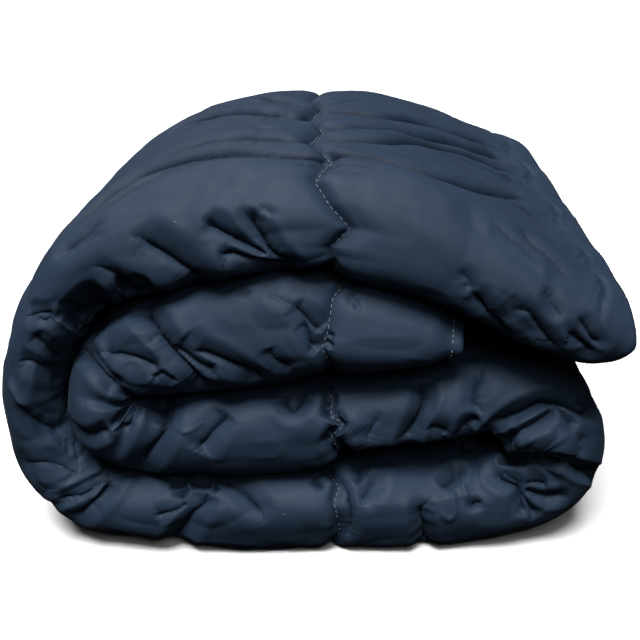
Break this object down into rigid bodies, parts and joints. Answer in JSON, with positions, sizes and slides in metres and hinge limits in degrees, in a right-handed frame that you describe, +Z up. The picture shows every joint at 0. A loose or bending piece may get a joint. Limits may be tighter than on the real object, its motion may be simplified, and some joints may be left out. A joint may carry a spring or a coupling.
{
  "type": "folded duvet",
  "caption": "Thick quilted duvet folded to a long strip and laid up in passes on itself, with a stitched inner hem and zigzag quilting lines, resting on its flat underside.",
  "frame": {"origin": "on the resting surface, under the middle of the bounding box", "axes": "+Z up, +Y away from the folded front edges that are seen in use, +X to the right seen from the front"},
  "size_m": [0.6372, 0.576, 0.4169],
  "materials": {
    "shell": "smooth navy microfibre with a slight sheen"
  },
  "bodies": {
    "root": {"duvet": "shell"}
  },
  "joints": []
}
